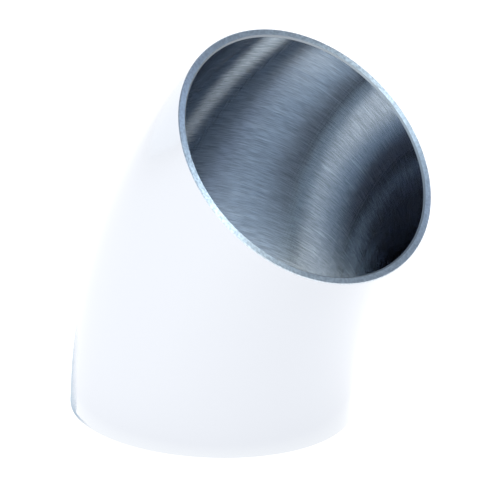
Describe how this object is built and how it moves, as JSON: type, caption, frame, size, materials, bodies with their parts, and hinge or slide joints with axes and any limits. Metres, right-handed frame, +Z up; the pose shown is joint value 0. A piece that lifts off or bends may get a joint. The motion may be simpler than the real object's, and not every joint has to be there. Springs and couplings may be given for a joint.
{
  "type": "sanitary forty-five degree elbow",
  "caption": "Thin-walled polished stainless elbow that turns a sanitary tube line through forty-five degrees, with square-cut ends for butt welding.",
  "frame": {"origin": "centre of the lower end face, on the lower end's own axis", "axes": "+Z is up along the lower end's axis, and the bend leans towards +X in the XZ plane"},
  "size_m": [0.0656, 0.0508, 0.0717],
  "materials": {
    "polished_stainless": "polished bright outside, finely brushed round the bore, turned end faces with light deburrs"
  },
  "bodies": {
    "root": {"elbow": "polished_stainless"}
  },
  "joints": []
}
